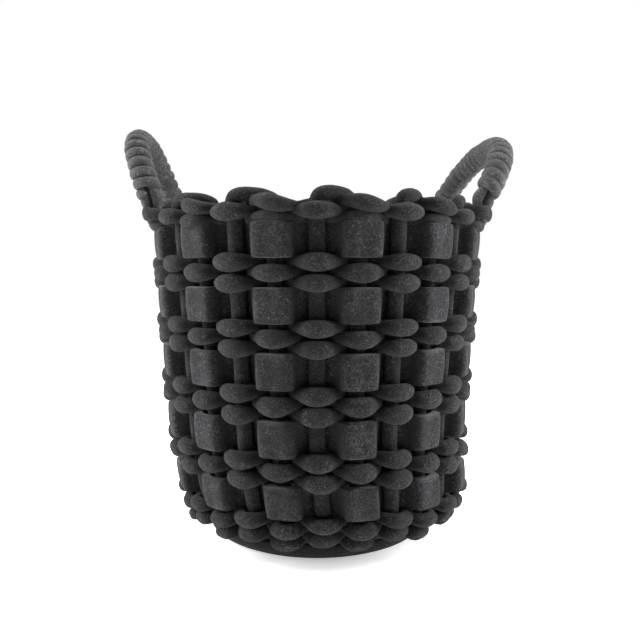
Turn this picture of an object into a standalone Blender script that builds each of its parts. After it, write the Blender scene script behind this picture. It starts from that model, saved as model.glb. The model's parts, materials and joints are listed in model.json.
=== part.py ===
"""Round planter basket, woven from felt rope and felt strip, with two wrapped rope handles.

Metres, +Z up, front towards -Y. The origin is the centre of the sole's underside.
Twenty-six upright stakes carry every woven ring. A ring passes in front of every second
stake and behind the others. Front and behind are measured along the wall's normal.
"""
import math

import bmesh
import bpy
from mathutils import Matrix, Vector

# Clearance between pieces that touch
GAP = 0.0003
WEAVE_GAP = 0.0011          # beside the stakes, where rings slant across them

# Stakes
STAKES = 26                 # uprights, an even number so that the plain weave closes
STAKE_DIAMETER = 0.014
STAKE_SPREAD = 1.07         # spacing of the stakes' inner ends, in diameters
STAKE_SIDES = 6

# Wall, measured on the stakes' centre lines
FOOT_RADIUS = 0.1314        # radius of the straight wall, carried down to the floor
WALL_FLARE = 0.084          # growth in radius for each unit of height
CORNER_RADIUS = 0.060       # rounding between wall and sole
CORNER_STEPS = 9

# Woven rings, bottom to top. A pitch is a ring's height with its clearance.
LOWEST_BAND_EDGE = 0.05365  # bottom of the lowest felt band, measured up the wall
BANDS = 5
BAND_PITCH = 0.0307
BAND_THICKNESS = 0.0045
ROWS_BETWEEN_BANDS = 3
ROW_PITCH = 0.0091
FOOT_ROWS = 4
FOOT_ROW_PITCH = 0.0070
FOOT_ROW_GAP = 0.0012       # rings on the rounded corner slant against each other
RIM_ROWS = 2
RIM_ROW_PITCH = 0.0064
ROW_DEPTH = 0.012           # a woven rope's size across the wall
BEND_FLAT = 0.005           # straight run in front of or behind a stake, where a ring has one

# Border: every second stake's end is bent over to the next stake and tucked inside
BORDER_ROPE = 0.010
BORDER_SPAN = 0.97          # share of the stake spacing that a bent end covers
# A bent end's course: share of the span, then steps inwards and up in rings and ropes
BENT_END = ((0.00, 0.10, -0.55), (0.05, 0.10, -0.10), (0.18, 0.06, 0.10), (0.48, -0.20, 0.12),
            (0.70, -0.60, 0.02), (0.88, -0.95, -0.28), (1.00, -1.10, -0.62))

# Sole and floor
SOLE_THICKNESS = 0.006
SOLE_FLAT_RADIUS = FOOT_RADIUS - 0.0334
SOLE_LIP_RADIUS = FOOT_RADIUS - 0.0129
SOLE_LIP_HEIGHT = 0.016
SOLE_LIP_SLOPE = 0.003      # how far the lip leans out on both of its faces
SOLE_LIP_STEPS = 3
FLOOR_THICKNESS = 0.005
FLOOR_RADIUS = FOOT_RADIUS - 0.0514
TURNING_STEPS = 32

# Handles: legs stand in front of two stakes, counted from the front stake
HANDLE_STAKES = {"left": (-5, -8), "right": (5, 9)}
HANDLE_LEAN = {"left": math.radians(20), "right": math.radians(30)}
HANDLE_REACH = 0.076        # from the hinge line to the top of the core's centre line
HANDLE_SQUARENESS = 2.3     # 2 is an ellipse, more is squarer
HANDLE_STEPS = 16
CORE_RADIUS = 0.0082        # one rope laid double, pressed into a round bundle
WRAP_RADIUS = 0.0133
WRAP_START = 0.014          # bare core between the hinge line and the wrapping
HINGE_ABOVE_BORDER = 0.0055
KNUCKLE = (-0.97, -0.82, -0.5, 0.0)     # where the core's lower end is rounded, in radii
TAIL_CLEARANCE = 0.0008
OCTAGON = 8

FELT_GREY = {
    "stake": (0.055, 0.055, 0.058),
    "rope": (0.065, 0.065, 0.069),
    "band": (0.045, 0.045, 0.048),
    "sole": (0.022, 0.022, 0.024),
    "handle": (0.090, 0.088, 0.095),
}
FELT_ROUGHNESS = 0.95

# Derived sizes
STAKE_RADIUS = STAKE_DIAMETER / 2
STEP_ANGLE = 2 * math.pi / STAKES
STAKE_INNER_END = STAKE_SPREAD * STAKE_DIAMETER / STEP_ANGLE
SOLE_STAKE_HEIGHT = SOLE_THICKNESS + GAP + STAKE_RADIUS
WALL_LEAN = math.atan(WALL_FLARE)
CORNER_LEVEL = SOLE_STAKE_HEIGHT + CORNER_RADIUS
CORNER_CENTRE = FOOT_RADIUS + WALL_FLARE * CORNER_LEVEL - CORNER_RADIUS / math.cos(WALL_LEAN)
CORNER_TOP = CORNER_LEVEL - CORNER_RADIUS * math.sin(WALL_LEAN)
PERIOD = BAND_PITCH + ROWS_BETWEEN_BANDS * ROW_PITCH
TOP_BAND_EDGE = LOWEST_BAND_EDGE + (BANDS - 1) * PERIOD + BAND_PITCH
BORDER_ROW_HEIGHT = TOP_BAND_EDGE + (RIM_ROWS + 0.5) * RIM_ROW_PITCH
BORDER_ROW_TOP = BORDER_ROW_HEIGHT + RIM_ROW_PITCH / 2
BEND_FLAT_AT_HANDLE = 0.55 * CORE_RADIUS + 0.416 * ROW_DEPTH
LEG_STAKES = {stake % STAKES for pair in HANDLE_STAKES.values() for stake in pair}


def clear_scene():
    for old in list(bpy.data.objects):
        bpy.data.objects.remove(old, do_unlink=True)


def felt(name, kind):
    material = bpy.data.materials.new(name)
    material.use_nodes = True
    shader = material.node_tree.nodes["Principled BSDF"]
    shader.inputs["Base Color"].default_value = (*FELT_GREY[kind], 1.0)
    shader.inputs["Roughness"].default_value = FELT_ROUGHNESS
    shader.inputs["Metallic"].default_value = 0.0
    return material


def place(name, data, kind, parent=None):
    piece = bpy.data.objects.new(name, data)
    bpy.context.collection.objects.link(piece)
    data.materials.append(felt(name, kind))
    piece.parent = parent
    return piece


# ---- wall geometry -------------------------------------------------------------------

def wall(height):
    """Radius, level and downward lean of the normal at a length measured up the wall."""
    if height >= CORNER_TOP:
        level = CORNER_TOP + (height - CORNER_TOP) * math.cos(WALL_LEAN)
        return FOOT_RADIUS + WALL_FLARE * level, level, WALL_LEAN
    turn = WALL_LEAN + (CORNER_TOP - height) / CORNER_RADIUS
    radius = CORNER_CENTRE + CORNER_RADIUS * math.cos(turn)
    return radius, CORNER_LEVEL - CORNER_RADIUS * math.sin(turn), turn


def around(angle, radius, height):
    """A point at an angle from the front, turning towards +X."""
    return Vector((radius * math.sin(angle), -radius * math.cos(angle), height))


def on_wall(angle, height, offset):
    radius, level, turn = wall(height)
    return around(angle, radius + offset * math.cos(turn), level - offset * math.sin(turn))


def weave_offset(height, depth):
    """Smallest offset at which a ring of this depth runs clear of the stakes' sides."""
    spacing = 2 * wall(height)[0] * math.sin(STEP_ANGLE / 2)
    clear = STAKE_RADIUS + WEAVE_GAP
    half = depth / 2
    a = spacing ** 2 - 4 * clear ** 2
    b = half * spacing ** 2
    c = spacing ** 2 * (half ** 2 - clear ** 2)
    return (b + math.sqrt(b ** 2 - a * c)) / a


# ---- ropes and strips ----------------------------------------------------------------

def outline(name, points):
    """A closed section that ropes and strips are swept with."""
    curve = bpy.data.curves.new(name, "CURVE")
    curve.dimensions = "2D"
    spline = curve.splines.new("POLY")
    spline.points.add(len(points) - 1)
    for knot, (x, y) in zip(spline.points, reversed(points)):
        knot.co = (x, y, 0.0, 1.0)
    spline.use_cyclic_u = True
    guide = bpy.data.objects.new(name, curve)
    bpy.context.collection.objects.link(guide)
    guide.hide_render = True
    guide.display_type = "WIRE"
    return guide


def rectangle(width, height):
    return [(-width / 2, -height / 2), (width / 2, -height / 2),
            (width / 2, height / 2), (-width / 2, height / 2)]


def polygon(radius, sides):
    turns = [2 * math.pi * i / sides for i in range(sides)]
    return [(radius * math.cos(turn), radius * math.sin(turn)) for turn in turns]


def sweep(name, points, section, kind, closed=False, tilt=0.0, sizes=None, caps=True,
          upright=True, parent=None):
    curve = bpy.data.curves.new(name, "CURVE")
    curve.dimensions = "3D"
    curve.twist_mode = "Z_UP" if upright else "MINIMUM"
    curve.bevel_mode = "OBJECT"
    curve.bevel_object = section
    curve.use_fill_caps = caps and not closed
    spline = curve.splines.new("POLY")
    spline.points.add(len(points) - 1)
    for i, knot in enumerate(spline.points):
        knot.co = (*points[i], 1.0)
        knot.tilt = tilt
        knot.radius = sizes[i] if sizes else 1.0
    spline.use_cyclic_u = closed
    return place(name, curve, kind, parent)


# ---- stakes --------------------------------------------------------------------------

def bent_end(angle):
    """Centre line of a stake's end: up, over the border row to the next stake, and inside."""
    radius, level, _ = wall(BORDER_ROW_TOP)
    crest = level + GAP + BORDER_ROPE / 2
    inside = weave_offset(BORDER_ROW_HEIGHT, ROW_DEPTH)
    path = []
    for along, across, rise in BENT_END:
        turn = angle + along * BORDER_SPAN * STEP_ANGLE
        path.append(around(turn, radius + across * inside, crest + rise * BORDER_ROPE))
    return path


def make_stakes():
    section = outline("stake_section", polygon(STAKE_RADIUS, STAKE_SIDES))
    for index in range(STAKES):
        angle = index * STEP_ANGLE
        path = [around(angle, STAKE_INNER_END, SOLE_STAKE_HEIGHT)]
        for step in range(CORNER_STEPS + 1):
            turn = (math.pi / 2 - WALL_LEAN) * (1 - step / CORNER_STEPS)
            path.append(on_wall(angle, CORNER_TOP - turn * CORNER_RADIUS, 0.0))
        sizes = [1.0] * (len(path) + 1)
        if index % 2 == 0 and index not in LEG_STAKES:
            path.append(on_wall(angle, BORDER_ROW_HEIGHT - 2 * RIM_ROW_PITCH, 0.0))
            over = bent_end(angle)
            path += over
            sizes += [BORDER_ROPE / STAKE_DIAMETER] * len(over)
        else:
            path.append(on_wall(angle, BORDER_ROW_TOP, 0.0))
        name = f"stake_{index + 1:02d}"
        sweep(name, path, section, "stake", sizes=sizes, upright=False)


# ---- woven rings ---------------------------------------------------------------------

def plain_ring(height, depth, front_parity):
    offset = weave_offset(height, depth)
    return [on_wall(i * STEP_ANGLE, height, offset if i % 2 == front_parity else -offset)
            for i in range(STAKES)]


def handle_ring(height, depth, front_parity):
    """A ring that bulges around the handle ends standing in front of some stakes."""
    offset = weave_offset(height, depth)
    leg_offset = handle_offset() + CORE_RADIUS + GAP + depth / 2
    points = []
    for i in range(STAKES):
        front = i % 2 == front_parity
        bulge = front and i in LEG_STAKES
        out = leg_offset if bulge else offset if front else -offset
        flat = BEND_FLAT_AT_HANDLE if bulge else BEND_FLAT
        half_turn = flat / (wall(height)[0] + out)
        points.append(on_wall(i * STEP_ANGLE - half_turn, height, out))
        points.append(on_wall(i * STEP_ANGLE + half_turn, height, out))
    return points


def make_rings():
    row = outline("row_section", rectangle(ROW_DEPTH, ROW_PITCH - GAP))
    foot_row = outline("foot_row_section", rectangle(ROW_DEPTH, FOOT_ROW_PITCH - FOOT_ROW_GAP))
    rim_row = outline("rim_row_section", rectangle(ROW_DEPTH, RIM_ROW_PITCH - GAP))
    band = outline("band_section", rectangle(BAND_THICKNESS, BAND_PITCH - GAP))

    for k in range(FOOT_ROWS):
        height = LOWEST_BAND_EDGE - FOOT_ROW_GAP - (k + 0.5) * FOOT_ROW_PITCH
        sweep(f"foot_row_{k + 1}", plain_ring(height, ROW_DEPTH, k % 2), foot_row, "rope",
              closed=True, tilt=wall(height)[2])

    for k in range(BANDS):
        height = TOP_BAND_EDGE - BAND_PITCH / 2 - k * PERIOD
        sweep(f"felt_band_{k + 1}", plain_ring(height, BAND_THICKNESS, 1), band, "band",
              closed=True, tilt=wall(height)[2])

    for k in range((BANDS - 1) * ROWS_BETWEEN_BANDS):
        group, place_in_group = divmod(k, ROWS_BETWEEN_BANDS)
        height = TOP_BAND_EDGE - BAND_PITCH - group * PERIOD - (place_in_group + 0.5) * ROW_PITCH
        sweep(f"rope_row_{k + 1:02d}", plain_ring(height, ROW_DEPTH, place_in_group % 2), row,
              "rope", closed=True, tilt=wall(height)[2])

    lower = TOP_BAND_EDGE + RIM_ROW_PITCH / 2
    sweep("rim_row_lower", plain_ring(lower, ROW_DEPTH, 1), rim_row, "rope", closed=True,
          tilt=WALL_LEAN)
    sweep("rim_row_upper", handle_ring(lower + RIM_ROW_PITCH, ROW_DEPTH, 0), rim_row, "rope",
          closed=True, tilt=WALL_LEAN)
    sweep("border_row", handle_ring(BORDER_ROW_HEIGHT, ROW_DEPTH, 1), rim_row, "rope",
          closed=True, tilt=WALL_LEAN)


# ---- sole and floor ------------------------------------------------------------------

def turned(name, profile, kind):
    """A solid of revolution from an open profile that starts and ends on the axis."""
    shape = bmesh.new()
    verts = [shape.verts.new((x, 0.0, z)) for x, z in profile]
    edges = [shape.edges.new(pair) for pair in zip(verts, verts[1:])]
    bmesh.ops.spin(shape, geom=verts + edges, axis=(0, 0, 1), cent=(0, 0, 0),
                   angle=2 * math.pi, steps=TURNING_STEPS)
    bmesh.ops.remove_doubles(shape, verts=shape.verts, dist=1e-5)
    bmesh.ops.recalc_face_normals(shape, faces=shape.faces)
    mesh = bpy.data.meshes.new(name)
    shape.to_mesh(mesh)
    shape.free()
    mesh.shade_smooth()
    mesh.set_sharp_from_angle(angle=math.radians(30))
    return place(name, mesh, kind)


def under_stakes(radius):
    """Height of the stakes' underside at this radius, less the clearance."""
    reach = CORNER_RADIUS + STAKE_RADIUS + 2 * GAP
    if radius <= CORNER_CENTRE:
        return CORNER_LEVEL - reach
    return CORNER_LEVEL - math.sqrt(reach ** 2 - (radius - CORNER_CENTRE) ** 2)


def make_sole_and_floor():
    lip = SOLE_LIP_RADIUS - SOLE_LIP_SLOPE
    rising = [(0.0, 0.0), (SOLE_FLAT_RADIUS, 0.0), (lip, SOLE_LIP_HEIGHT / 2),
              (SOLE_LIP_RADIUS, SOLE_LIP_HEIGHT)]
    inside = []
    for step in range(SOLE_LIP_STEPS, -1, -1):
        radius = SOLE_FLAT_RADIUS + (lip - SOLE_FLAT_RADIUS) * step / SOLE_LIP_STEPS
        inside.append((radius, under_stakes(radius) - GAP))
    centre = [(CORNER_CENTRE, SOLE_THICKNESS), (0.0, SOLE_THICKNESS)]
    turned("base_sole", rising + inside + centre, "sole")
    low = SOLE_STAKE_HEIGHT + STAKE_RADIUS + GAP
    turned("floor_disc", [
        (0.0, low), (FLOOR_RADIUS, low), (FLOOR_RADIUS, low + FLOOR_THICKNESS),
        (0.0, low + FLOOR_THICKNESS)], "band")


# ---- handles -------------------------------------------------------------------------

def handle_offset():
    """How far in front of the stakes' centre line the handle's core stands."""
    return STAKE_RADIUS + GAP + CORE_RADIUS


def hinge_level():
    return wall(BORDER_ROW_TOP)[1] + HINGE_ABOVE_BORDER


def handle_feet(side):
    radius = FOOT_RADIUS + WALL_FLARE * hinge_level() + handle_offset()
    return [around(stake * STEP_ANGLE, radius, hinge_level()) for stake in HANDLE_STAKES[side]]


def handle_frame(side):
    """An empty on the hinge line: X along it, Y up the handle, Z out of the handle's plane."""
    near, far = handle_feet(side)
    along = (far - near).normalized()
    if side == "right":
        along = -along
    outward = along.cross(Vector((0, 0, 1)))
    centre = (near + far) / 2
    if outward.dot(centre) < 0:
        outward = -outward
    lean = HANDLE_LEAN[side]
    up = Vector((0, 0, 1)) * math.cos(lean) + outward * math.sin(lean)
    across = along.cross(up)
    frame = bpy.data.objects.new(f"{side}_handle_hinge", None)
    bpy.context.collection.objects.link(frame)
    frame.matrix_world = Matrix.Translation(centre) @ Matrix((along, up, across)).transposed().to_4x4()
    return frame, (far - near).length / 2


def on_arch(half_width, turn):
    c, s = math.cos(turn), math.sin(turn)
    x = math.copysign(abs(c) ** (2 / HANDLE_SQUARENESS), -c) * half_width
    return Vector((x, abs(s) ** (2 / HANDLE_SQUARENESS) * HANDLE_REACH, 0.0))


def arch(half_width):
    """The wrapped part of the handle's centre line, in the handle's own plane."""
    start = math.asin((WRAP_START / HANDLE_REACH) ** (HANDLE_SQUARENESS / 2))
    swing = math.pi - 2 * start
    return [on_arch(half_width, start + swing * step / HANDLE_STEPS)
            for step in range(HANDLE_STEPS + 1)]


def make_handle(side, sections):
    frame, half_width = handle_frame(side)
    wrapped = arch(half_width)
    foot = [(rise * CORE_RADIUS, math.sqrt(1 - rise * rise)) for rise in KNUCKLE]
    near = [Vector((-half_width, level, 0.0)) for level, _ in foot]
    far = [Vector((half_width, level, 0.0)) for level, _ in reversed(foot)]
    rounding = [size for _, size in foot]
    sizes = rounding + [1.0] * len(wrapped) + rounding[::-1]
    sweep(f"{side}_handle_core", near + wrapped + far, sections["core"], "handle",
          sizes=sizes, parent=frame)

    wrap = sweep(f"{side}_handle_wrap", wrapped, sections["wrap"], "handle", caps=False,
                 parent=frame)
    wall_of_wrap = wrap.modifiers.new("wrap_wall", "SOLIDIFY")
    wall_of_wrap.thickness = (WRAP_RADIUS - CORE_RADIUS - GAP) * math.cos(math.pi / OCTAGON)
    wall_of_wrap.offset = -1.0
    wall_of_wrap.use_even_offset = True

    bottom = wall(TOP_BAND_EDGE + RIM_ROW_PITCH)[1] + GAP
    top = hinge_level() - CORE_RADIUS - TAIL_CLEARANCE
    for end, stake, point in zip(("front", "back"), HANDLE_STAKES[side], handle_feet(side)):
        tail = bmesh.new()
        bmesh.ops.create_cone(tail, cap_ends=True, segments=OCTAGON, radius1=CORE_RADIUS,
                              radius2=CORE_RADIUS, depth=top - bottom)
        mesh = bpy.data.meshes.new(f"{side}_handle_{end}_tail")
        tail.to_mesh(mesh)
        tail.free()
        piece = place(f"{side}_handle_{end}_tail", mesh, "handle")
        piece.location = (point.x, point.y, (top + bottom) / 2)
        piece.rotation_euler.z = stake * STEP_ANGLE + math.pi / OCTAGON


def make_handles():
    sections = {
        "core": outline("core_section", polygon(CORE_RADIUS, OCTAGON)),
        "wrap": outline("wrap_section", polygon(WRAP_RADIUS, OCTAGON)),
    }
    for side in HANDLE_STAKES:
        make_handle(side, sections)


def main():
    clear_scene()
    make_sole_and_floor()
    make_stakes()
    make_rings()
    make_handles()


main()
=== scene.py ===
"""Looks for the woven felt planter basket: felt ropes, felt strips, bent border and wrapped handles."""
import json
import math

import bpy
import numpy as np
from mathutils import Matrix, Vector


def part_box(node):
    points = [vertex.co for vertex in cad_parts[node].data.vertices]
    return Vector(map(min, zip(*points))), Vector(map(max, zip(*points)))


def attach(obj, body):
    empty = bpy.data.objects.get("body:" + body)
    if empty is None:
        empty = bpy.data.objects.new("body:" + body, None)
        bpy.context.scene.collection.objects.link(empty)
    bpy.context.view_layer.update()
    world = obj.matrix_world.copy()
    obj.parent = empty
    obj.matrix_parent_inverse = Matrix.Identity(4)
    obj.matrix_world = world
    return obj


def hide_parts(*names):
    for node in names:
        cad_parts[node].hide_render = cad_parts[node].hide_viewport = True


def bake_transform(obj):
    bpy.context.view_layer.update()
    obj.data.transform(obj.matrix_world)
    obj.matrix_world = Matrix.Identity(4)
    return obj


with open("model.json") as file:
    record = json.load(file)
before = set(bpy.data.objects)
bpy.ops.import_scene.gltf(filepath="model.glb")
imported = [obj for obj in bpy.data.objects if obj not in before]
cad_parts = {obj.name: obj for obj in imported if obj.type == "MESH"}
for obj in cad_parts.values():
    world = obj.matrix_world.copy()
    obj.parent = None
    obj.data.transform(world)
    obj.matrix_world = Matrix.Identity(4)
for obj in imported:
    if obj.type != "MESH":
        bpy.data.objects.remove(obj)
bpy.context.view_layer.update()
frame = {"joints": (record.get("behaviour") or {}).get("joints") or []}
bpy.ops.object.select_all(action="DESELECT")
chance = np.random.default_rng(26)

# ---- sizes shared with the CAD model, in metres ----------------------------------------
STAKES = 26
STEP = 2 * math.pi / STAKES
FOOT_RADIUS = 0.1314              # the straight wall, carried down to the floor
WALL_FLARE = 0.084                # growth of the wall's radius with height
WALL_LEAN = math.atan(WALL_FLARE)
CORNER_RADIUS = 0.060
SOLE_STAKE_LEVEL = 0.0133         # centre of the stakes where they lie on the sole
CORNER_LEVEL = SOLE_STAKE_LEVEL + CORNER_RADIUS
CORNER_CENTRE = FOOT_RADIUS + WALL_FLARE * CORNER_LEVEL - CORNER_RADIUS / math.cos(WALL_LEAN)
CORNER_TOP = CORNER_LEVEL - CORNER_RADIUS * math.sin(WALL_LEAN)

HANDLE_STAKES = {"left": (-5, -8), "right": (5, 9)}
LEG_STAKES = [stake % STAKES for pair in HANDLE_STAKES.values() for stake in pair]
HANDLE_LEAN = {"left": 20, "right": 30}     # degrees outwards
HANDLE_REACH = 0.076
HANDLE_SQUARENESS = 2.3           # 2 would be an ellipse
CORE_RADIUS = 0.0082

# ---- camera ----------------------------------------------------------------------------
EYE_LEVEL = 0.2695
EYE_DISTANCE = 0.770
LENS_MM = 39.8
SENSOR_MM = 36.0
FRAME_RISE = -0.0727              # the lens is shifted, so that upright lines stay upright
FRAME_SIDE = 0.0045

bpy.ops.object.camera_add(location=(0.0, -EYE_DISTANCE, EYE_LEVEL),
                          rotation=(math.radians(90), 0.0, 0.0))
camera = bpy.context.object
camera.name = "camera"
camera.data.sensor_width = SENSOR_MM
camera.data.lens = LENS_MM
camera.data.shift_x = FRAME_SIDE
camera.data.shift_y = FRAME_RISE
bpy.context.scene.camera = camera

# ---- materials -------------------------------------------------------------------------
BLACK_WHITE = (0.0, 1.0)
BLUENESS = 1.05                   # blue of a grey compared with its green
SPECK_SHARE = 0.8                 # how far a full speck goes from ground to fleck
HAIR_SHARE = 0.25
CUT_EDGE_SHARE = 0.6
# Painted shade: the colour is darkened towards near black at the rope and strip crossings, standing in
# for the shadow that falls there.
PAINTED_SHADE_SHARE = 0.85
PAINTED_SHADE_GREY = 0.004
NAP_DEPTH = 0.0011
FELT_ROUGHNESS = 0.95
FELT_SHINE = 0.12
FELT_SHEEN = 0.06


class Socket:
    """A node's output, with arithmetic that adds Math nodes."""

    def __init__(self, maker, out):
        self.maker = maker
        self.out = out

    def _math(self, operation, first, second):
        return self.maker.node("ShaderNodeMath", {"operation": operation}, {0: first, 1: second})

    def __add__(self, other):
        return self._math("ADD", self, other)

    __radd__ = __add__

    def __sub__(self, other):
        return self._math("SUBTRACT", self, other)

    def __rsub__(self, other):
        return self._math("SUBTRACT", other, self)

    def __mul__(self, other):
        return self._math("MULTIPLY", self, other)

    __rmul__ = __mul__


class Finish:
    """One material and the nodes that make it."""

    def __init__(self, name):
        self.material = bpy.data.materials.new(name)
        self.material.use_nodes = True
        self.tree = self.material.node_tree
        self.shader = self.tree.nodes["Principled BSDF"]

    def node(self, kind, settings, values, output=0):
        made = self.tree.nodes.new(kind)
        for key, value in settings.items():
            setattr(made, key, value)
        for key, value in values.items():
            self.feed(made.inputs[key], value)
        return Socket(self, made.outputs[output])

    def feed(self, socket, value):
        if isinstance(value, Socket):
            self.tree.links.new(value.out, socket)
        else:
            socket.default_value = value

    def place(self):
        return self.node("ShaderNodeTexCoord", {}, {}, output="Object")

    def noise(self, place, scale, detail, roughness, distortion=0.0):
        return self.node("ShaderNodeTexNoise", {}, {
            "Vector": place, "Scale": scale, "Detail": detail, "Roughness": roughness,
            "Distortion": distortion})

    def spread(self, value, low, high, results=BLACK_WHITE):
        """Carries the values from low to high over to the first and second of results."""
        return self.node("ShaderNodeMapRange", {}, {
            "Value": value, "From Min": low, "From Max": high, "To Min": results[0],
            "To Max": results[1]})

    def stored(self, attribute):
        return self.node("ShaderNodeAttribute", {"attribute_name": attribute}, {}, output="Fac")

    def mix(self, factor, first, second):
        return self.node("ShaderNodeMix", {"data_type": "RGBA"}, {0: factor, 6: first, 7: second},
                         output=2)


def grey(value, warmth=0.0):
    return (value * (1 + warmth), value, value * (BLUENESS - warmth), 1.0)


def felt(name, ground, fleck, edge=None, painted_shade=False):
    """Heather felt: a dark ground with pale fibres, soft clouds of both, and a nap; it can also carry
    painted shade at the crossings.
    """
    finish = Finish(name)
    place = finish.place()
    speck_noise = finish.noise(place, scale=430.0, detail=3.0, roughness=0.75, distortion=1.5)
    hair_noise = finish.noise(place, scale=210.0, detail=3.0, roughness=0.55, distortion=2.5)
    cloud = finish.noise(place, scale=60.0, detail=3.0, roughness=0.65)
    nap = finish.noise(place, scale=900.0, detail=4.0, roughness=0.8, distortion=0.8)
    away = finish.node("ShaderNodeMath", {"operation": "ABSOLUTE"}, {0: hair_noise - 0.5})
    hair = finish.spread(away, low=0.0, high=0.02, results=(1.0, 0.0))
    speck = finish.spread(speck_noise, low=0.51, high=0.65)
    shade = finish.spread(cloud, low=0.36, high=0.64, results=(0.25, 1.0))
    colour = finish.mix(speck * shade * SPECK_SHARE + hair * shade * HAIR_SHARE, ground, fleck)
    if edge is not None:
        colour = finish.mix(finish.stored("cut_edge") * CUT_EDGE_SHARE, colour, edge)
    # Painted shade: mixes in near black where the stored mask marks the crossings, in place of their
    # shadow.
    if painted_shade:
        colour = finish.mix(finish.stored("painted_shade") * PAINTED_SHADE_SHARE, colour, grey(PAINTED_SHADE_GREY))
    finish.feed(finish.shader.inputs["Base Color"], colour)
    bump = finish.node("ShaderNodeBump", {}, {
        "Strength": 0.8, "Distance": NAP_DEPTH, "Height": nap * 0.7 + speck * 0.5 + hair * 0.3})
    finish.feed(finish.shader.inputs["Normal"], bump)
    finish.shader.inputs["Roughness"].default_value = FELT_ROUGHNESS
    finish.shader.inputs["Specular IOR Level"].default_value = FELT_SHINE
    finish.shader.inputs["Sheen Weight"].default_value = FELT_SHEEN
    finish.shader.inputs["Sheen Roughness"].default_value = 0.5
    finish.shader.inputs["Sheen Tint"].default_value = (0.75, 0.74, 0.78, 1.0)
    return finish.material


# Rope and strip felt carry painted shade at their crossings.
ROPE_FELT = felt("rope_felt", grey(0.0090), grey(0.082), painted_shade=True)
STAKE_FELT = felt("stake_felt", grey(0.0075), grey(0.065))
BAND_FELT = felt("band_felt", grey(0.0095), grey(0.098), edge=grey(0.10), painted_shade=True)
# The sole is a felt part; its felt is made darker and plainer than the rest of the felt as painted
# shade for the shadow under the basket.
SOLE_FELT = felt("sole_felt", grey(0.005), grey(0.014))
HANDLE_FELT = felt("handle_felt", grey(0.040, 0.02), grey(0.22, 0.02))


# ---- wall geometry ---------------------------------------------------------------------
def wall(height):
    """Radius, level and downward lean of the normal at a length measured up the wall."""
    if height >= CORNER_TOP:
        level = CORNER_TOP + (height - CORNER_TOP) * math.cos(WALL_LEAN)
        return FOOT_RADIUS + WALL_FLARE * level, level, WALL_LEAN
    turn = WALL_LEAN + (CORNER_TOP - height) / CORNER_RADIUS
    return (CORNER_CENTRE + CORNER_RADIUS * math.cos(turn),
            CORNER_LEVEL - CORNER_RADIUS * math.sin(turn), turn)


def height_of(level):
    """Length up the straight wall for a level above the floor."""
    return CORNER_TOP + (level - CORNER_TOP) / math.cos(WALL_LEAN)


def middle(node):
    low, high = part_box(node)
    return (low[2] + high[2]) / 2


def on_wall(angle, radius, level, turn, out, up):
    """Points at an angle from the front, out along the wall's normal and up along the wall."""
    r = radius + out * np.cos(turn) + up * np.sin(turn)
    z = level - out * np.sin(turn) + up * np.cos(turn)
    return np.stack([r * np.sin(angle), -r * np.cos(angle), z], axis=1)


def near_stake(phase, stake):
    """How many stakes away a place on the ring is, and to which side."""
    return (phase - stake + STAKES / 2) % STAKES - STAKES / 2


# ---- help for soft pieces --------------------------------------------------------------
WELD_DISTANCE = 0.00002
FOOT_SIDEWAYS = 0.0065            # how far the foot stands to one side
FOOT_SINKS = 0.0030
SIDEWAYS_GROWS = (-0.002, 0.04)   # levels between which each of the two grows and fades
SIDEWAYS_FADES = (0.03, 0.13)
SINKING_GROWS = (0.035, 0.085)
SINKING_FADES = (0.10, 0.20)


def read_points(piece):
    points = np.empty(len(piece.data.vertices) * 3)
    piece.data.vertices.foreach_get("co", points)
    return points.reshape(-1, 3)


def write_points(piece, points):
    piece.data.vertices.foreach_set("co", points.reshape(-1))
    piece.data.update()


def store(piece, name, values):
    attribute = piece.data.attributes.new(name, "FLOAT", "POINT")
    attribute.data.foreach_set("value", values.astype(np.float32))


def rolled_grid(name, sections, around, place, material):
    """A grid rolled up into a closed form. place(u, v) gives points for two arrays."""
    bpy.ops.mesh.primitive_grid_add(x_subdivisions=sections, y_subdivisions=around, size=1.0)
    piece = bpy.context.object
    piece.name = name
    piece.data.name = name
    flat = read_points(piece)
    write_points(piece, place(flat[:, 0] + 0.5, flat[:, 1] + 0.5))
    bpy.ops.object.mode_set(mode="EDIT")
    bpy.ops.mesh.select_all(action="SELECT")
    bpy.ops.mesh.remove_doubles(threshold=WELD_DISTANCE)
    bpy.ops.mesh.normals_make_consistent(inside=False)
    bpy.ops.object.mode_set(mode="OBJECT")
    piece.data.materials.append(material)
    return piece


def soft_tube(name, sections, around, place, material):
    tube = rolled_grid(name, sections, around, place, material)
    bpy.ops.object.shade_smooth()
    tube.select_set(False)
    return tube


def smooth_random(count, spread):
    """One random value for each stake or turn, joined by a smooth line that repeats."""
    values = chance.uniform(-spread, spread, count)

    def line(phase):
        index = np.floor(phase).astype(int)
        part = phase - index
        share = part * part * (3 - 2 * part)
        return values[index % count] * (1 - share) + values[(index + 1) % count] * share
    return line


def ease(value, low, high):
    """0 at low, 1 at high, and smooth between."""
    share = np.clip((value - low) / (high - low), 0, 1)
    return share * share * (3 - 2 * share)


def rounded(wave, power):
    """A sine or cosine made fuller (power below 1) or sharper, with its sign kept."""
    return np.sign(wave) * np.abs(wave) ** power


def settle(piece):
    """The basket has sunk a little above its foot, and leans there a little to one side."""
    points = read_points(piece)
    level = points[:, 2].copy()
    sideways = (1 - ease(level, *SIDEWAYS_FADES)) * ease(level, *SIDEWAYS_GROWS)
    sinking = ease(level, *SINKING_GROWS) * (1 - ease(level, *SINKING_FADES))
    points[:, 0] += FOOT_SIDEWAYS * sideways
    points[:, 2] -= FOOT_SINKS * sinking
    write_points(piece, points)


def finish_piece(piece, body, node):
    if body == "basket":
        settle(piece)
    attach(piece, body)
    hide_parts(node)


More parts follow.
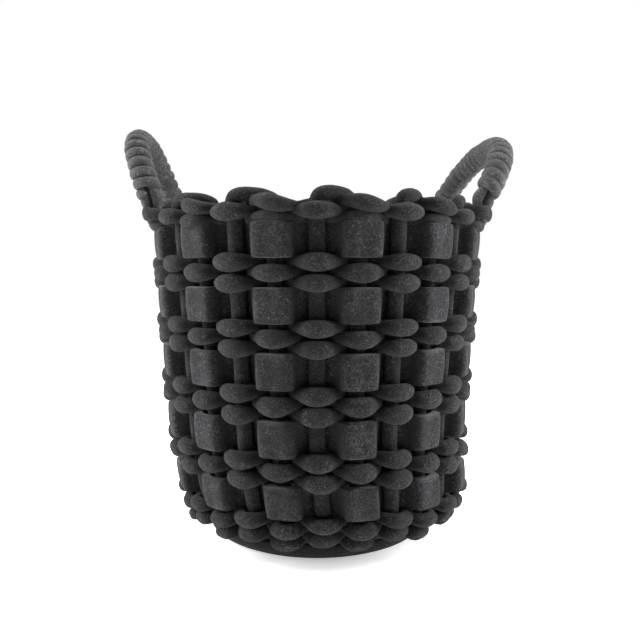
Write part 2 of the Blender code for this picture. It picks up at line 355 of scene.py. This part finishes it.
def mark_painted_shade(piece, shift, dark, light):
    """Stores painted shade: a mask, halfway between two stakes, that darkens the felt where it passes
    between its neighbours, standing in for the shadow there.
    """
    points = read_points(piece)
    phase = np.arctan2(points[:, 0], -points[:, 1]) / STEP
    store(piece, "painted_shade", 1 - ease(np.abs(np.cos(math.pi * (phase + shift))), dark, light))


# ---- woven ropes -----------------------------------------------------------------------
ROW_SECTIONS_PER_STAKE = 16
ROW_SIDES = 16
ROW_TALL = 0.0166                 # where the rope bulges
ROW_NECK = 0.0096                 # where it is pressed between its neighbours
ROW_REACH = 0.0140                # from the wall's middle to the rope's, in front and behind
ROW_DEPTH = 0.0124
ROW_SECTION_POWER = 0.95
ROW_SWELL = 0.06                  # random differences
ROW_WANDER = 0.0006
ROW_PUSH = 0.0007
OUTER_ROUNDNESS = 0.85            # powers of the wave's outer and inner halves
INNER_ROUNDNESS = 1.25
OUTER_FULLNESS = 1.05
INNER_FULLNESS = 0.45
INNER_GAIN = 1.1
LEG_BUMP = 0.0085                 # a rope goes round a handle's leg with this much more reach
LEG_WIDTH = 0.42
LEG_THINNING = 0.3
SHY_DIP = 0.0048                  # loops that are pulled in more than the others
SHY_WIDTH = 0.45
# Painted shade on the ropes: where the darkening of the crossings is full and where it ends.
ROW_PAINTED_SHADE_LIMITS = (0.20, 0.62)
SHY_STAKES = [1, 3, 25, 9, 11, 13, 15, 17, 19]

ROPE_ROWS = 12
ROWS_PER_GROUP = 3
FOOT_ROWS = 4
LOWEST_BAND_HEIGHT = 0.069
FOOT_ROW_GAP = 0.01655            # from the lowest band's middle to the first foot row's edge
FOOT_ROW_PITCH = 0.0070
FOOT_ROW_TALL = 0.0150
FOOT_ROW_SHRINK = 0.0008          # from one row to the next, towards the sole
FOOT_ROW_NECK = 0.0078
FOOT_ROW_REACH = 0.0142
FOOT_ROW_LEAN = 0.5               # share of the wall's lean that a foot row follows
FOOT_ROW_STAND_OFF = 0.0012
FOOT_ROW_STEP_OUT = 0.0006
RIM_REACH = 0.0146
RIM_NECK = 0.0085
BORDER_SLANT = 0.10               # loops are turned to one side, fall and narrow with it
BORDER_FALL = 0.0024
BORDER_NARROWING = 0.12


def woven_row(name, height, front, tall=ROW_TALL, neck=ROW_NECK, reach=ROW_REACH,
              depth=ROW_DEPTH, lean=1.0, slant=0.0, fall=0.0, narrowing=0.0, stand_off=0.0,
              legs=(), shy=()):
    """A felt rope that weaves in front of every second stake and behind the others.

    It is full where it bulges and squeezed thin where it crosses its neighbours.
    """
    radius, level, turn = wall(height)
    swell = smooth_random(STAKES, ROW_SWELL)
    wander = smooth_random(STAKES, ROW_WANDER)
    push = smooth_random(STAKES, ROW_PUSH)

    def place(u, v):
        phase = u * STAKES
        wave = np.cos(math.pi * (phase + front - slant))
        tilt = np.sin(math.pi * (phase + front - slant))
        power = np.where(wave > 0, OUTER_ROUNDNESS, INNER_ROUNDNESS)
        out = rounded(wave, power) * reach + push(phase) + stand_off
        depth_here = np.full_like(phase, depth)
        for stake in legs:
            bump = np.exp(-(near_stake(phase, stake) / LEG_WIDTH) ** 4)
            out = out + LEG_BUMP * bump
            depth_here = depth_here * (1 - LEG_THINNING * bump)
        for stake in shy:
            out = out - SHY_DIP * np.exp(-(near_stake(phase, stake) / SHY_WIDTH) ** 4)
        slope = math.pi * reach / (radius * STEP) * np.abs(tilt)
        full = np.where(wave > 0, np.abs(wave) ** OUTER_FULLNESS,
                        INNER_GAIN * np.abs(wave) ** INNER_FULLNESS)
        up_half = (neck + (tall - neck) * full) / 2 * (1 + swell(phase))
        up_half = up_half * (1 - narrowing * tilt)
        out_half = depth_here / 2 * np.sqrt(1 + slope ** 2)
        ring = 2 * math.pi * v
        across = rounded(np.cos(ring), ROW_SECTION_POWER) * out_half
        along = rounded(np.sin(ring), ROW_SECTION_POWER) * up_half + wander(phase) - fall * tilt
        return on_wall(u * 2 * math.pi, radius, level, turn * lean, out + across, along)

    row = soft_tube(name, STAKES * ROW_SECTIONS_PER_STAKE, ROW_SIDES, place, ROPE_FELT)
    # Painted shade at the rope's crossings.
    mark_painted_shade(row, front - slant, *ROW_PAINTED_SHADE_LIMITS)
    return row


def make_rope_rows():
    for k in range(ROPE_ROWS):
        node = f"rope_row_{k + 1:02d}"
        front = 1 if k % ROWS_PER_GROUP == 1 else 0
        row = woven_row(f"{node}_rope", height_of(middle(node)), front)
        finish_piece(row, "basket", node)


def make_foot_rows():
    for k in range(FOOT_ROWS):
        node = f"foot_row_{k + 1}"
        height = LOWEST_BAND_HEIGHT - FOOT_ROW_GAP - (k + 0.5) * FOOT_ROW_PITCH
        row = woven_row(f"{node}_rope", height, k % 2, tall=FOOT_ROW_TALL - FOOT_ROW_SHRINK * k,
                        neck=FOOT_ROW_NECK, reach=FOOT_ROW_REACH, lean=FOOT_ROW_LEAN,
                        stand_off=FOOT_ROW_STAND_OFF + FOOT_ROW_STEP_OUT * k)
        finish_piece(row, "basket", node)


def make_rim_rows():
    even_legs = [stake for stake in LEG_STAKES if stake % 2 == 0]
    odd_legs = [stake for stake in LEG_STAKES if stake % 2 == 1]
    row = woven_row("rim_row_lower_rope", height_of(middle("rim_row_lower")), 1, tall=0.0128,
                    neck=0.0075, reach=0.0148, depth=0.0116, shy=SHY_STAKES)
    finish_piece(row, "basket", "rim_row_lower")
    row = woven_row("rim_row_upper_rope", height_of(middle("rim_row_upper")), 0, tall=0.0160,
                    neck=RIM_NECK, reach=RIM_REACH, legs=even_legs)
    finish_piece(row, "basket", "rim_row_upper")
    row = woven_row("border_row_rope", height_of(middle("border_row")), 1, tall=0.0150,
                    neck=RIM_NECK, reach=RIM_REACH, slant=BORDER_SLANT, fall=BORDER_FALL,
                    narrowing=BORDER_NARROWING, legs=odd_legs)
    finish_piece(row, "basket", "border_row")


# ---- felt bands ------------------------------------------------------------------------
BANDS = 5
BAND_TALL = 0.0322
BAND_THICK = 0.0048
BAND_REACH = 0.0124
BAND_SECTIONS_PER_STAKE = 18
BAND_FACE_STEPS = 8
BAND_ROUND_STEPS = 4
BAND_ROUNDING = 0.45              # share of half the thickness
BAND_TURN_SHARPNESS = 4.2         # how suddenly the strip turns in beside a stake
BAND_CROWN = 0.28                 # how much rounder than a box it is over a stake
BAND_OUTER_SLOPE = 2.0            # the strip's slope at a crossing, so that it keeps its thickness
BAND_INNER_SLOPE = 1.25
BAND_OUTER_BOW = 0.0012
BAND_INNER_BOW = -0.0006
BAND_SQUEEZE = 0.035
BAND_PUSH = 0.0006                # random differences
BAND_TIP = 0.0005
# Painted shade on the strips: where the darkening beside the stakes is full and where it ends.
BAND_PAINTED_SHADE_LIMITS = (0.04, 0.30)
CUT_EDGE_INSET = 0.0010
CUT_EDGE_WIDTH = 0.0008


def strip_outline(half_thick, half_tall):
    """The section of a strip with slightly softened corners: places across and up."""
    rounding = half_thick * BAND_ROUNDING
    flat_thick = half_thick - rounding
    flat_tall = half_tall - rounding

    def corner(across, up, start):
        turns = [math.radians(start + 90 * step / BAND_ROUND_STEPS)
                 for step in range(BAND_ROUND_STEPS + 1)]
        return [(across * flat_thick + rounding * math.cos(turn),
                 up * flat_tall + rounding * math.sin(turn)) for turn in turns]

    def face(across, start):
        return [(across * half_thick, start * flat_tall * (1 - 2 * step / BAND_FACE_STEPS))
                for step in range(1, BAND_FACE_STEPS)]

    return np.array(corner(1, 1, 0) + corner(-1, 1, 90) + face(-1, 1)
                    + corner(-1, -1, 180) + corner(1, -1, 270) + face(1, -1))


def felt_band(name, height):
    """A strip woven like a row, and the length that it would have laid flat."""
    radius, level, turn = wall(height)
    section = strip_outline(BAND_THICK / 2, BAND_TALL / 2)
    count = len(section)
    push = smooth_random(STAKES, BAND_PUSH)
    tip = smooth_random(STAKES, BAND_TIP)

    def place(u, v):
        phase = u * STAKES
        wave = np.cos(math.pi * (phase + 1))
        outer = np.tanh(BAND_TURN_SHARPNESS * wave) * (1 - BAND_CROWN + BAND_CROWN * wave)
        side = np.where(wave > 0, outer, wave)
        index = np.rint(v * count).astype(int) % count
        across, up = section[index, 0], section[index, 1]
        steepest = np.where(wave > 0, BAND_OUTER_SLOPE, BAND_INNER_SLOPE)
        slope = np.abs(np.sin(math.pi * phase)) * steepest
        out = side * BAND_REACH + push(phase) + across * np.sqrt(1 + slope ** 2)
        bow = np.where(side > 0, BAND_OUTER_BOW, BAND_INNER_BOW) * (1 - (up / (BAND_TALL / 2)) ** 2)
        up = up * (1 - BAND_SQUEEZE * (1 - np.abs(wave))) + tip(phase)
        return on_wall(u * 2 * math.pi, radius, level, turn, out + bow, up)

    band = soft_tube(name, STAKES * BAND_SECTIONS_PER_STAKE, count, place, BAND_FELT)
    mark_cut_edges(band, radius, level, turn)
    # Painted shade beside the stakes, where the strip turns in behind them.
    mark_painted_shade(band, 1, *BAND_PAINTED_SHADE_LIMITS)
    along = np.linspace(0, 1, STAKES * BAND_SECTIONS_PER_STAKE + 1)
    course = place(along, np.zeros_like(along))
    return band, float(np.linalg.norm(np.diff(course, axis=0), axis=1).sum())


def mark_cut_edges(band, radius, level, turn):
    """Stores how near each point is to the strip's cut edges."""
    points = read_points(band)
    out = np.hypot(points[:, 0], points[:, 1]) - radius
    up = (points[:, 2] - level) * math.cos(turn) + out * math.sin(turn)
    inset = np.abs(up) - (BAND_TALL / 2 - CUT_EDGE_INSET)
    store(band, "cut_edge", np.clip(inset / CUT_EDGE_WIDTH, 0, 1))


def make_bands():
    for k in range(BANDS):
        node = f"felt_band_{k + 1}"
        height = LOWEST_BAND_HEIGHT if k == BANDS - 1 else height_of(middle(node))
        band, cut_length = felt_band(f"{node}_felt", height)
        finish_piece(band, "basket", node)


# ---- ropes along a line ----------------------------------------------------------------
END_OPENING = 0.0001              # share of full size at a rope's very end


def spine(points, count):
    """A smooth line through chosen points: evenly spaced positions and their running length."""
    points = np.array(points, float)
    steps = np.linalg.norm(np.diff(points, axis=0), axis=1)
    at = np.concatenate([[0], np.cumsum(steps)])
    fine = np.linspace(0, at[-1], count)
    slopes = np.gradient(points, at, axis=0)
    index = np.clip(np.searchsorted(at, fine, side="right") - 1, 0, len(points) - 2)
    width = (at[index + 1] - at[index])[:, None]
    t = (fine - at[index])[:, None] / width
    a, b = points[index], points[index + 1]
    ma, mb = slopes[index] * width, slopes[index + 1] * width
    line = ((2 * t ** 3 - 3 * t ** 2 + 1) * a + (t ** 3 - 2 * t ** 2 + t) * ma
            + (-2 * t ** 3 + 3 * t ** 2) * b + (t ** 3 - t ** 2) * mb)
    return line, fine


def swept_rope(name, line, first_side, half_side, half_other, material, sides):
    """A rope along a line. first_side is the direction of the section's first half size."""
    tangent = np.gradient(line, axis=0)
    tangent /= np.linalg.norm(tangent, axis=1)[:, None]
    side = np.broadcast_to(first_side, line.shape).copy()
    side -= (side * tangent).sum(axis=1)[:, None] * tangent
    side /= np.linalg.norm(side, axis=1)[:, None]
    other = np.cross(tangent, side)
    count = len(line) - 1

    def place(u, v):
        index = np.rint(u * count).astype(int)
        ring = 2 * math.pi * v
        return (line[index] + side[index] * (np.cos(ring) * half_side[index])[:, None]
                + other[index] * (np.sin(ring) * half_other[index])[:, None])

    return soft_tube(name, count, sides, place, material)


def rounded_ends(fine, radius):
    """Share of full size along a rope whose ends are rounded."""
    size = np.ones_like(fine)
    for distance in (fine, fine[-1] - fine):
        near = np.clip(distance / radius, 0, 1)
        size = np.minimum(size, np.sqrt(1 - (1 - near) ** 2) + END_OPENING)
    return size


# ---- stakes ----------------------------------------------------------------------------
STAKE_SIDES = 14
STAKE_ROUNDING = 0.007            # length of a stake's rounded ends
STAKE_INNER_END = 0.062           # radius at which they start, under the floor disc
STAKE_HALF_WIDE = 0.0073
STRAIGHT_HALF_DEEP = 0.0068
BENT_HALF_DEEP = 0.0069
BENT_SLIMMING = 0.06
BENT_SLIM_RUN = 0.012             # height below the rim in which a bent stake slims
BENT_SLIM_SIDE = 0.0005           # past this, to the side, it is slim throughout
RIM_BELOW_BORDER = 0.0019         # from the border ring's top down to the stakes' rim
STRAIGHT_BELOW_RIM = 0.001
BEND_BELOW_RIM = 0.0128
CORNER_POINTS = 10
WALL_POINTS = 14
FIRST_WALL_POINT = 0.02           # above the corner
STRAIGHT_COUNT = 150
BENT_COUNT = 230
CREST_RISE = 0.0035
BEND_STEPS = 0.97                 # a bent end reaches this many stakes along the border
BEND_DEPTH = 0.0167
BEND_HEIGHT = 0.010
# Places along the bend, out from the wall and up from the crest, in shares of the three above.
BENT_END = ((0.00, 0.12, -0.55), (0.05, 0.14, -0.12), (0.18, 0.12, 0.10), (0.46, -0.16, 0.14),
            (0.70, -0.58, 0.02), (0.88, -0.95, -0.32), (1.00, -1.10, -0.75))


def stake_line(top_height):
    """A stake's centre line at the front: out over the sole, round the corner, up the wall."""
    points = [(0.0, -STAKE_INNER_END, SOLE_STAKE_LEVEL)]
    corner = [CORNER_TOP - turn * CORNER_RADIUS
              for turn in np.linspace(math.pi / 2 - WALL_LEAN, 0, CORNER_POINTS)]
    wall_run = list(np.linspace(CORNER_TOP + FIRST_WALL_POINT, top_height, WALL_POINTS))
    for height in corner + wall_run:
        radius, level, _ = wall(height)
        points.append((0.0, -radius, level))
    return points


def bent_end(rim):
    """A stake's bent-over end at the front stake: up, across to the right, and inside."""
    radius, level, _ = wall(rim)
    crest = level + CREST_RISE
    points = []
    for along, across, rise in BENT_END:
        turn = along * BEND_STEPS * STEP
        r = radius + across * BEND_DEPTH
        points.append((r * math.sin(turn), -r * math.cos(turn), crest + rise * BEND_HEIGHT))
    return points


def straight_stake(rim):
    line, fine = spine(stake_line(rim - STRAIGHT_BELOW_RIM), STRAIGHT_COUNT)
    size = rounded_ends(fine, STAKE_ROUNDING)
    return swept_rope("straight_stake", line, (1.0, 0.0, 0.0), size * STAKE_HALF_WIDE,
                      size * STRAIGHT_HALF_DEEP, STAKE_FELT, STAKE_SIDES)


def bent_stake(rim):
    line, fine = spine(stake_line(rim - BEND_BELOW_RIM) + bent_end(rim), BENT_COUNT)
    size = rounded_ends(fine, STAKE_ROUNDING)
    over = np.clip((line[:, 2] - (wall(rim)[1] - BENT_SLIM_RUN)) / BENT_SLIM_RUN, 0, 1)
    beyond = (line[:, 0] > BENT_SLIM_SIDE).astype(float)
    slim = 1 - BENT_SLIMMING * np.maximum(over, beyond)
    return swept_rope("bent_stake", line, (1.0, 0.0, 0.0), size * slim * STAKE_HALF_WIDE,
                      size * slim * BENT_HALF_DEEP, STAKE_FELT, STAKE_SIDES)


def turned_copy(piece, name, angle):
    """A copy with its own mesh, turned about the basket's axis."""
    copy = piece.copy()
    copy.data = piece.data.copy()
    copy.name = name
    copy.data.name = name
    bpy.context.collection.objects.link(copy)
    copy.rotation_euler.z = angle
    bpy.context.view_layer.objects.active = copy
    copy.select_set(True)
    bpy.ops.object.transform_apply(location=False, rotation=True, scale=False)
    copy.select_set(False)
    return copy


def make_stakes():
    """Every second stake is bent over at the border, but never one with a handle's leg."""
    rim = height_of(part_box("border_row")[1][2] - RIM_BELOW_BORDER)
    straight = straight_stake(rim)
    bent = bent_stake(rim)
    for index in range(STAKES):
        node = f"stake_{index + 1:02d}"
        master = bent if index % 2 == 0 and index not in LEG_STAKES else straight
        rope = turned_copy(master, f"{node}_rope", index * STEP)
        finish_piece(rope, "basket", node)
    for master in (straight, bent):
        bpy.data.objects.remove(master)


# ---- sole and floor --------------------------------------------------------------------
FLOOR_SIDES = 96
FLOOR_ROUNDING = 0.0012
FLOOR_ROUND_STEPS = 4
FLOOR_SMOOTH_ANGLE = math.radians(40)
SOLE_SIDES = 104
SOLE_SMOOTH_ANGLE = math.radians(50)
SOLE_THICK = 0.0060               # in the middle
# The sole's section: distance in from its lip, and level. It goes out along the underside,
# over the lip, and back in along the top.
SOLE_SECTION = ((0.0240, 0.0000), (0.0165, 0.0007), (0.0095, 0.0040), (0.0040, 0.0090),
                (0.0004, 0.0148), (0.0002, 0.0175), (0.0014, 0.0186), (0.0040, 0.0172),
                (0.0100, 0.0122), (0.0180, 0.0082), (0.0280, 0.0062))


def make_floor_disc():
    """A compacted felt disc with a softened rim, from a cylinder."""
    low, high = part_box("floor_disc")
    bpy.ops.mesh.primitive_cylinder_add(vertices=FLOOR_SIDES, radius=high[0],
                                        depth=high[2] - low[2],
                                        location=(0, 0, (high[2] + low[2]) / 2))
    disc = bpy.context.object
    disc.name = "floor_felt_disc"
    bpy.ops.object.transform_apply(location=True)
    bevel = disc.modifiers.new("soft_rim", "BEVEL")
    bevel.width = FLOOR_ROUNDING
    bevel.segments = FLOOR_ROUND_STEPS
    bevel.limit_method = "ANGLE"
    bpy.ops.object.modifier_apply(modifier=bevel.name)
    bpy.ops.object.shade_smooth_by_angle(angle=FLOOR_SMOOTH_ANGLE)
    disc.data.materials.append(BAND_FELT)
    disc.select_set(False)
    finish_piece(disc, "basket", "floor_disc")


def make_sole():
    """The sole: flat underneath, with a lip that turns up round the stakes."""
    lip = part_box("base_sole")[1][0]
    rim = [(lip - inset, level) for inset, level in SOLE_SECTION]
    section = np.array([(0.0, 0.0)] + rim + [(0.0, SOLE_THICK)])
    count = len(section) - 1

    def place(u, v):
        shape = section[np.rint(v * count).astype(int)]
        turn = u * 2 * math.pi
        return np.stack([shape[:, 0] * np.sin(turn), -shape[:, 0] * np.cos(turn), shape[:, 1]], 1)

    sole = rolled_grid("sole_felt_disc", SOLE_SIDES, count, place, SOLE_FELT)
    bpy.ops.object.shade_smooth_by_angle(angle=SOLE_SMOOTH_ANGLE)
    sole.select_set(False)
    finish_piece(sole, "basket", "base_sole")


# ---- handles ---------------------------------------------------------------------------
LEG_STAND_OFF = 0.0073            # from the wall's middle to the legs' inner side
ARCH_SAMPLES = 1200
UPRIGHT = np.array([0.0, 0.0, 1.0])

WRAP_RADIUS = 0.0133
WRAP_BEGINS = {"left": 0.0050, "right": 0.0075}     # above the hinge
WRAP_SAMPLES = 1500
WRAP_SPAN = (0.02, 0.98)          # shares of the arch between the first turn and the last
COIL_PITCH = 0.0111
COIL_THICK = 0.0078
COIL_STEPS = 22
COIL_SIDES = 12
COIL_FLATNESS = 0.85
COIL_HALF_WIDTH = 0.54            # share of the pitch, so that turns press against each other
COIL_TAPER_TURNS = 0.375
COIL_LOOSE = 0.0005               # random differences
COIL_WIDTH_SPREAD = 0.06
PHASE_SHORTFALL = 1.001           # keeps the last turn's random values from repeating the first
TIGHTEST_BEND = 25                # largest curvature that narrows the turns' inner side
INNER_NARROWING = 0.9

CORE_SIDES = 12
CORE_COUNT = 220
CORE_ARCH_POINTS = 40
CORE_ARCH_START = 0.006
CORE_ROUNDING = 0.006
CORE_TAIL = ((0.022, 0.003), (0.014, 0.002), (0.006, 0.0005))   # down and in, from the hinge
CORE_SQUEEZE_START = 0.004        # height above the hinge where the wrapping squeezes the core
CORE_SQUEEZE_RUN = 0.014
CORE_APART = (0.0056, 0.0040)     # below and inside the wrapping
CORE_HALF_FACE = (0.0058, 0.0040)
CORE_HALF_SIDE = (0.0064, 0.0058)
TAIL_CLOSING = (-0.008, 0.004)    # heights between which the tails open out to the full size
TAIL_APART = 0.72
TAIL_FACE = 0.75
BEND_STARTS = 0.010               # below the hinge
BEND_ENDS = 0.012                 # above it


def handle_frame(side):
    """Hinge point, direction along the hinge, up the handle, out of its plane, half span."""
    joint = next(j for j in frame["joints"] if j["name"] == f"{side}_handle_tilt")
    centre = np.array(joint["pos_m"], float)
    along = np.array(joint["axis"], float)
    along /= np.linalg.norm(along)
    outward = np.array([centre[0], centre[1], 0.0])
    outward -= outward.dot(along) * along
    outward /= np.linalg.norm(outward)
    lean = math.radians(HANDLE_LEAN[side])
    up = UPRIGHT * math.cos(lean) + outward * math.sin(lean)
    face = outward * math.cos(lean) - UPRIGHT * math.sin(lean)
    feet = []
    for stake in HANDLE_STAKES[side]:
        radius = FOOT_RADIUS + WALL_FLARE * centre[2] + LEG_STAND_OFF + CORE_RADIUS
        feet.append((radius * math.sin(stake * STEP), -radius * math.cos(stake * STEP)))
    half = math.dist(*feet) / 2
    first_foot = np.array([*feet[0], centre[2]])
    if (first_foot - centre).dot(along) > 0:
        along = -along
    return centre, along, up, face, half


def on_arch(frame_of, turn):
    centre, along, up, _, half = frame_of
    x = -rounded(np.cos(turn), 2 / HANDLE_SQUARENESS) * half
    y = np.abs(np.sin(turn)) ** (2 / HANDLE_SQUARENESS) * HANDLE_REACH
    return centre + x[:, None] * along + y[:, None] * up


def even_arch(frame_of, first_level, count):
    """Evenly spaced points of the handle's arch above a level, and their running length."""
    start = math.asin((first_level / HANDLE_REACH) ** (HANDLE_SQUARENESS / 2))
    fine = on_arch(frame_of, np.linspace(start, math.pi - start, ARCH_SAMPLES))
    at = np.concatenate([[0], np.cumsum(np.linalg.norm(np.diff(fine, axis=0), axis=1))])
    goal = np.linspace(0, at[-1], count)
    return np.stack([np.interp(goal, at, fine[:, i]) for i in range(3)], axis=1), goal


def wrapping(side):
    """The rope wound round the handle in close turns."""
    frame_of = handle_frame(side)
    face = frame_of[3]
    line, at = even_arch(frame_of, WRAP_BEGINS[side], WRAP_SAMPLES)
    turns = round(at[-1] / COIL_PITCH)
    count = turns * COIL_STEPS
    where = np.linspace(*WRAP_SPAN, count + 1) * at[-1]
    spot = np.stack([np.interp(where, at, line[:, i]) for i in range(3)], axis=1)
    tangent = np.gradient(spot, axis=0)
    tangent /= np.linalg.norm(tangent, axis=1)[:, None]
    level = np.cross(tangent, np.broadcast_to(face, tangent.shape))
    spin = 2 * math.pi * turns * np.linspace(0, 1, count + 1)
    loose = smooth_random(turns, COIL_LOOSE)
    width = smooth_random(turns, COIL_WIDTH_SPREAD)
    radial = np.cos(spin)[:, None] * level + np.sin(spin)[:, None] * face
    phase = np.linspace(0, turns - PHASE_SHORTFALL, count + 1)
    out = WRAP_RADIUS - COIL_THICK / 2 + loose(phase)
    wound = spot + radial * out[:, None]
    ends = rounded_ends(np.linspace(0, turns, count + 1), COIL_TAPER_TURNS)
    half_out = COIL_THICK / 2 * ends
    half_along = COIL_PITCH * COIL_HALF_WIDTH * ends * (1 + width(phase))
    bend = np.linalg.norm(np.gradient(tangent, axis=0), axis=1) / (at[-1] / count)
    inner = 1 - np.cos(spin) * np.clip(bend, 0, TIGHTEST_BEND) * out * INNER_NARROWING

    def place(u, v):
        index = np.rint(u * count).astype(int)
        ring = 2 * math.pi * v
        across = rounded(np.cos(ring), COIL_FLATNESS) * half_out[index]
        along = np.sin(ring) * half_along[index] * inner[index]
        return wound[index] + radial[index] * across[:, None] + tangent[index] * along[:, None]

    coil = soft_tube(f"{side}_handle_wrapping", count, COIL_SIDES, place, HANDLE_FELT)
    finish_piece(coil, f"{side}_handle", f"{side}_handle_wrap")


def core_rope(side, which):
    """One pass of the doubled core rope, from the weave over the arch and back into it."""
    frame_of = handle_frame(side)
    centre, along, up, face, half = frame_of
    sign = 1 if which == "outer" else -1
    over, _ = even_arch(frame_of, CORE_ARCH_START, CORE_ARCH_POINTS)
    near_foot, far_foot = centre - half * along, centre + half * along
    radial = centre * np.array([1, 1, 0]) / np.linalg.norm(centre[:2])

    def tail(foot):
        return [foot - UPRIGHT * drop - radial * inset for drop, inset in CORE_TAIL]

    line, at = spine(tail(near_foot) + list(over) + tail(far_foot)[::-1], CORE_COUNT)
    rise = (line - centre) @ up
    squeeze = np.clip((rise - CORE_SQUEEZE_START) / CORE_SQUEEZE_RUN, 0, 1)
    opening = ease(rise, *TAIL_CLOSING)

    def along_rope(sizes):
        below, inside = sizes
        return below * (1 - squeeze) + inside * squeeze

    apart = along_rope(CORE_APART) * (TAIL_APART + (1 - TAIL_APART) * opening)
    line = line + face * (sign * apart)[:, None]
    size = rounded_ends(at, CORE_ROUNDING)
    half_face = along_rope(CORE_HALF_FACE) * size * (TAIL_FACE + (1 - TAIL_FACE) * opening)
    half_side = along_rope(CORE_HALF_SIDE) * size
    rope = swept_rope(f"{side}_handle_core_{which}", line, face, half_face, half_side,
                      HANDLE_FELT, CORE_SIDES)
    tuple(centre - up * BEND_STARTS)
    tuple(centre + up * BEND_ENDS)
    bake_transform(rope)
    return rope


def make_handles():
    for side in HANDLE_STAKES:
        wrapping(side)
        inner = core_rope(side, "inner")
        core_rope(side, "outer")
        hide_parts(f"{side}_handle_core", f"{side}_handle_front_tail",
                    f"{side}_handle_back_tail")


# ---- surroundings ----------------------------------------------------------------------
WHITE = (1.0, 1.0, 1.0, 1.0)
FLOOR_SIZE = 40.0
FLOOR_LEVEL = -0.0005
FLOOR_COLOUR = (0.92, 0.92, 0.92, 1.0)
FLOOR_ROUGHNESS = 0.8
FLOOR_GLOW = 0.95
NEAR_GLOW = (0.48, 0.48, 0.48, 1.0)         # share of the glow close to the basket
GLOW_DISTANCES = (0.5, 1.4)
SKY_COLOUR = (0.96, 0.98, 1.0, 1.0)
SKY_STRENGTH = 0.30
# Softboxes: where they stand, what they face, width and height, and power in watts.
SOFTBOXES = {
    "top_softbox": ((0.0, 0.25, 1.5), (0, 0, 0.2), (1.2, 1.2), 26),
    "left_softbox": ((-1.35, -0.05, 0.80), (0, 0, 0.28), (0.8, 1.1), 62),
    "right_softbox": ((1.35, -0.05, 0.80), (0, 0, 0.28), (0.8, 1.1), 58),
}


def make_floor():
    """A pale floor that glows more with distance, so that no horizon shows."""
    bpy.ops.mesh.primitive_plane_add(size=FLOOR_SIZE, location=(0, 0, FLOOR_LEVEL))
    floor = bpy.context.object
    floor.name = "floor"
    finish = Finish("pale_floor")
    away = finish.node("ShaderNodeVectorMath", {"operation": "LENGTH"}, {0: finish.place()},
                       output="Value")
    glow = finish.mix(finish.spread(away, *GLOW_DISTANCES), NEAR_GLOW, WHITE)
    finish.feed(finish.shader.inputs["Emission Color"], glow)
    finish.shader.inputs["Emission Strength"].default_value = FLOOR_GLOW
    finish.shader.inputs["Base Color"].default_value = FLOOR_COLOUR
    finish.shader.inputs["Roughness"].default_value = FLOOR_ROUGHNESS
    floor.data.materials.append(finish.material)


def make_sky():
    """White where the camera sees it, and dimmer as a light."""
    world = bpy.data.worlds.new("soft_white")
    world.use_nodes = True
    nodes = world.node_tree.nodes
    links = world.node_tree.links
    seen = nodes["Background"]
    seen.inputs["Color"].default_value = WHITE
    seen.inputs["Strength"].default_value = 1.0
    lighting = nodes.new("ShaderNodeBackground")
    lighting.inputs["Color"].default_value = SKY_COLOUR
    lighting.inputs["Strength"].default_value = SKY_STRENGTH
    path = nodes.new("ShaderNodeLightPath")
    both = nodes.new("ShaderNodeMixShader")
    links.new(path.outputs["Is Camera Ray"], both.inputs[0])
    links.new(lighting.outputs[0], both.inputs[1])
    links.new(seen.outputs[0], both.inputs[2])
    links.new(both.outputs[0], nodes["World Output"].inputs["Surface"])
    bpy.context.scene.world = world


def make_softboxes():
    for name, (location, target, size, power) in SOFTBOXES.items():
        bpy.ops.object.light_add(type="AREA", location=location)
        light = bpy.context.object
        light.name = name
        aim = Vector(target) - Vector(location)
        light.rotation_euler = aim.to_track_quat("-Z", "Y").to_euler()
        light.data.shape = "RECTANGLE"
        light.data.size = size[0]
        light.data.size_y = size[1]
        light.data.energy = power


make_rope_rows()
make_foot_rows()
make_rim_rows()
make_bands()
make_stakes()
make_sole()
make_floor_disc()
make_handles()
make_floor()
make_sky()
make_softboxes()
bpy.context.scene.view_settings.view_transform = "Standard"
